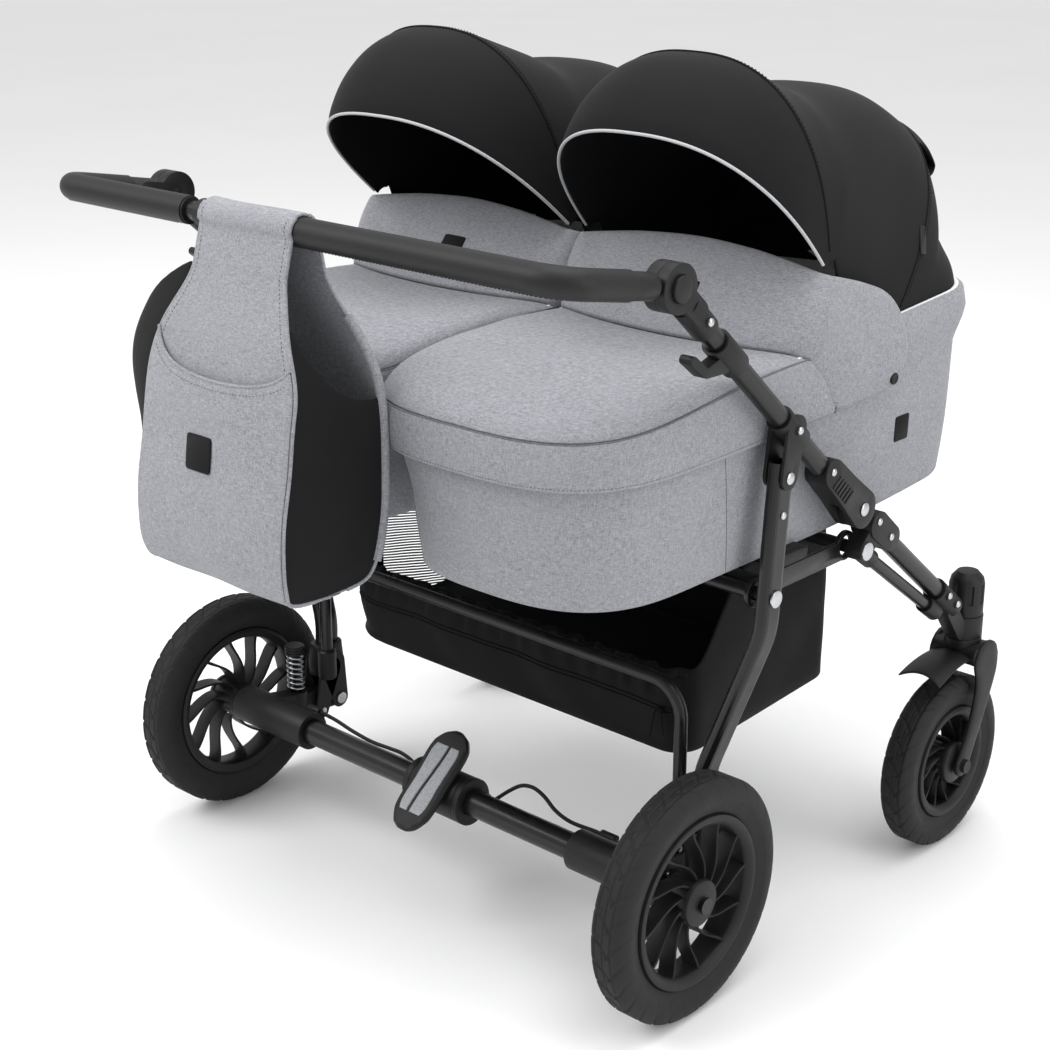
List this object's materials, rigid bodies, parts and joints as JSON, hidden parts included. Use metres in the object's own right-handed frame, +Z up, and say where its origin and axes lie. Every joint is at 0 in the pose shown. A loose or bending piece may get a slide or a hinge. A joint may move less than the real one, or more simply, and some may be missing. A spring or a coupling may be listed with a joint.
{
  "type": "twin pram",
  "caption": "Side-by-side twin pram: folding tube chassis with rear suspension and foot brake, swivelling front wheels, two lift-off cots with hoods, basket and changing bag.",
  "frame": {"origin": "on the floor, in the middle of the outer box", "axes": "+Z up, +Y the way the pram travels, +X its right-hand side"},
  "size_m": [0.866, 0.965, 1.0382],
  "materials": {
    "black_metal": "satin black powder coat",
    "black_plastic": "fine-grained black",
    "steel": "bright zinc",
    "tyre": "black rubber",
    "grip": "smooth black leatherette",
    "grey_fabric": "light melange grey",
    "black_fabric": "matt black",
    "lining": "white cotton"
  },
  "bodies": {
    "frame": {"handle_tubes": "black_metal", "knuckle_bases": "black_plastic", "leg_brackets": "black_plastic", "fold_housings": "black_plastic", "frame_bolts": "steel"},
    "handle": {"handle_bar": "black_metal", "handle_grips": "grip", "knuckle_arms": "black_plastic"},
    "left_button": {"left_tilt_button": "black_plastic"},
    "right_button": {"right_tilt_button": "black_plastic"},
    "left_slider": {"left_release_slider": "black_plastic"},
    "right_slider": {"right_release_slider": "black_plastic"},
    "bag": {"changing_bag": "grey_fabric"},
    "front_frame": {"front_legs": "black_metal", "fold_clamps": "black_plastic", "fork_sockets": "black_plastic", "front_braces": "black_metal", "front_cross_tube": "black_metal", "front_leg_bolts": "steel"},
    "left_knob": {"left_swivel_knob": "black_plastic"},
    "right_knob": {"right_swivel_knob": "black_plastic"},
    "left_fork_body": {"left_fork": "black_plastic"},
    "right_fork_body": {"right_fork": "black_plastic"},
    "left_front_wheel": {"left_front_tyre": "tyre", "left_front_rim": "black_plastic"},
    "right_front_wheel": {"right_front_tyre": "tyre", "right_front_rim": "black_plastic"},
    "rear_frame": {"rear_legs": "black_metal", "rear_hoop": "black_metal", "rear_cross_tube": "black_metal", "suspension_brackets": "black_plastic", "spring_rods": "black_plastic", "suspension_springs": "steel", "rear_leg_bolts": "steel"},
    "axle": {"rear_axle": "black_metal", "axle_sleeves": "black_plastic", "brake_housing": "black_plastic", "brake_cables": "black_plastic"},
    "pedal": {"brake_pedal": "black_plastic"},
    "left_pin": {"left_brake_pin": "steel"},
    "right_pin": {"right_brake_pin": "steel"},
    "left_rear_wheel": {"left_rear_tyre": "tyre", "left_rear_rim": "black_plastic"},
    "right_rear_wheel": {"right_rear_tyre": "tyre", "right_rear_rim": "black_plastic"},
    "link_frame": {"link_bars": "black_metal", "cot_cross_bars": "black_metal", "cot_adapters": "black_plastic", "basket": "black_fabric"},
    "left_cot_body": {"left_cot": "grey_fabric", "left_apron": "grey_fabric", "left_hood_back": "black_fabric", "left_mattress": "lining"},
    "right_cot_body": {"right_cot": "grey_fabric", "right_apron": "grey_fabric", "right_hood_back": "black_fabric", "right_mattress": "lining"},
    "left_canopy": {"left_hood_canopy": "black_fabric"},
    "right_canopy": {"right_hood_canopy": "black_fabric"}
  },
  "joints": [
    {"name": "handle_tilt", "type": "hinge", "parent": "frame", "child": "handle", "pos_m": [0, -0.2385, 0.851], "axis": [-1, 0, 0], "range_deg": [0, 35]},
    {"name": "left_tilt_button_push", "type": "slide", "parent": "frame", "child": "left_button", "axis": [1, 0, 0], "range_m": [0, 0.004], "stiffness_N_per_m": 800, "springref_m": -0.002},
    {"name": "left_release_slide", "type": "slide", "parent": "frame", "child": "left_slider", "axis": [0, -0.743, 0.6693], "range_m": [0, 0.02], "stiffness_N_per_m": 400, "springref_m": -0.006},
    {"name": "right_tilt_button_push", "type": "slide", "parent": "frame", "child": "right_button", "axis": [-1, 0, 0], "range_m": [0, 0.004], "stiffness_N_per_m": 800, "springref_m": -0.002},
    {"name": "right_release_slide", "type": "slide", "parent": "frame", "child": "right_slider", "axis": [0, -0.743, 0.6693], "range_m": [0, 0.02], "stiffness_N_per_m": 400, "springref_m": -0.006},
    {"name": "fold", "type": "hinge", "parent": "frame", "child": "front_frame", "pos_m": [0, 0.1145, 0.533], "axis": [-1, 0, 0], "range_deg": [0, 55]},
    {"name": "rear_leg_fold", "type": "hinge", "parent": "frame", "child": "rear_frame", "pos_m": [0, -0.0365, 0.607], "axis": [-1, 0, 0], "range_deg": [0, 22.4]},
    {"name": "link_fold", "type": "hinge", "parent": "rear_frame", "child": "link_frame", "pos_m": [0, -0.0485, 0.468], "axis": [1, 0, 0], "range_deg": [0, 21.56]},
    {"name": "bag_swing", "type": "hinge", "parent": "handle", "child": "bag", "pos_m": [0, -0.3975, 0.88], "axis": [-1, 0, 0], "range_deg": [0, 22.05]},
    {"name": "left_fork_swivel", "type": "hinge", "parent": "front_frame", "child": "left_fork_body", "pos_m": [-0.39, 0.4025, 0.283], "axis": [0, 0, 1], "continuous": true},
    {"name": "left_swivel_lock", "type": "hinge", "parent": "front_frame", "child": "left_knob", "pos_m": [-0.39, 0.4025, 0.313], "axis": [0, 0, 1], "range_deg": [0, 90]},
    {"name": "left_front_wheel_spin", "type": "hinge", "parent": "left_fork_body", "child": "left_front_wheel", "pos_m": [-0.39, 0.3655, 0.117], "axis": [1, 0, 0], "continuous": true},
    {"name": "right_fork_swivel", "type": "hinge", "parent": "front_frame", "child": "right_fork_body", "pos_m": [0.39, 0.4025, 0.283], "axis": [0, 0, 1], "continuous": true},
    {"name": "right_swivel_lock", "type": "hinge", "parent": "front_frame", "child": "right_knob", "pos_m": [0.39, 0.4025, 0.313], "axis": [0, 0, 1], "range_deg": [0, 90]},
    {"name": "right_front_wheel_spin", "type": "hinge", "parent": "right_fork_body", "child": "right_front_wheel", "pos_m": [0.39, 0.3655, 0.117], "axis": [1, 0, 0], "continuous": true},
    {"name": "suspension", "type": "hinge", "parent": "rear_frame", "child": "axle", "pos_m": [0, -0.0605, 0.129], "axis": [-1, 0, 0], "range_deg": [0, 6], "stiffness_Nm_per_rad": 320, "springref_deg": -5.16, "deforming": ["suspension_springs"]},
    {"name": "brake_pedal_press", "type": "hinge", "parent": "axle", "child": "pedal", "pos_m": [0, -0.1825, 0.145], "axis": [-1, 0, 0], "range_deg": [0, 20]},
    {"name": "left_brake_pin_slide", "type": "slide", "parent": "axle", "child": "left_pin", "axis": [-1, 0, 0], "range_m": [0, 0.00705]},
    {"name": "left_rear_wheel_spin", "type": "hinge", "parent": "axle", "child": "left_rear_wheel", "pos_m": [-0.395, -0.1825, 0.145], "axis": [1, 0, 0], "continuous": true},
    {"name": "right_brake_pin_slide", "type": "slide", "parent": "axle", "child": "right_pin", "axis": [1, 0, 0], "range_m": [0, 0.00705]},
    {"name": "right_rear_wheel_spin", "type": "hinge", "parent": "axle", "child": "right_rear_wheel", "pos_m": [0.395, -0.1825, 0.145], "axis": [1, 0, 0], "continuous": true},
    {"name": "left_cot_lift", "type": "slide", "parent": "link_frame", "child": "left_cot_body", "axis": [0, 0, 1], "range_m": [0, 0.08]},
    {"name": "left_hood_fold", "type": "hinge", "parent": "left_cot_body", "child": "left_canopy", "pos_m": [-0.1875, 0.0925, 0.8], "axis": [-1, 0, 0], "range_deg": [0, 32]},
    {"name": "right_cot_lift", "type": "slide", "parent": "link_frame", "child": "right_cot_body", "axis": [0, 0, 1], "range_m": [0, 0.08]},
    {"name": "right_hood_fold", "type": "hinge", "parent": "right_cot_body", "child": "right_canopy", "pos_m": [0.1875, 0.0925, 0.8], "axis": [-1, 0, 0], "range_deg": [0, 32]}
  ],
  "couplings": [
    {"joint": "rear_leg_fold", "follows": "fold", "ratio": 0.4064},
    {"joint": "link_fold", "follows": "fold", "ratio": 0.3911},
    {"joint": "bag_swing", "follows": "fold", "ratio": 0.4},
    {"joint": "left_brake_pin_slide", "follows": "brake_pedal_press", "m_per_rad": 0.020054},
    {"joint": "right_brake_pin_slide", "follows": "brake_pedal_press", "m_per_rad": 0.020054}
  ]
}
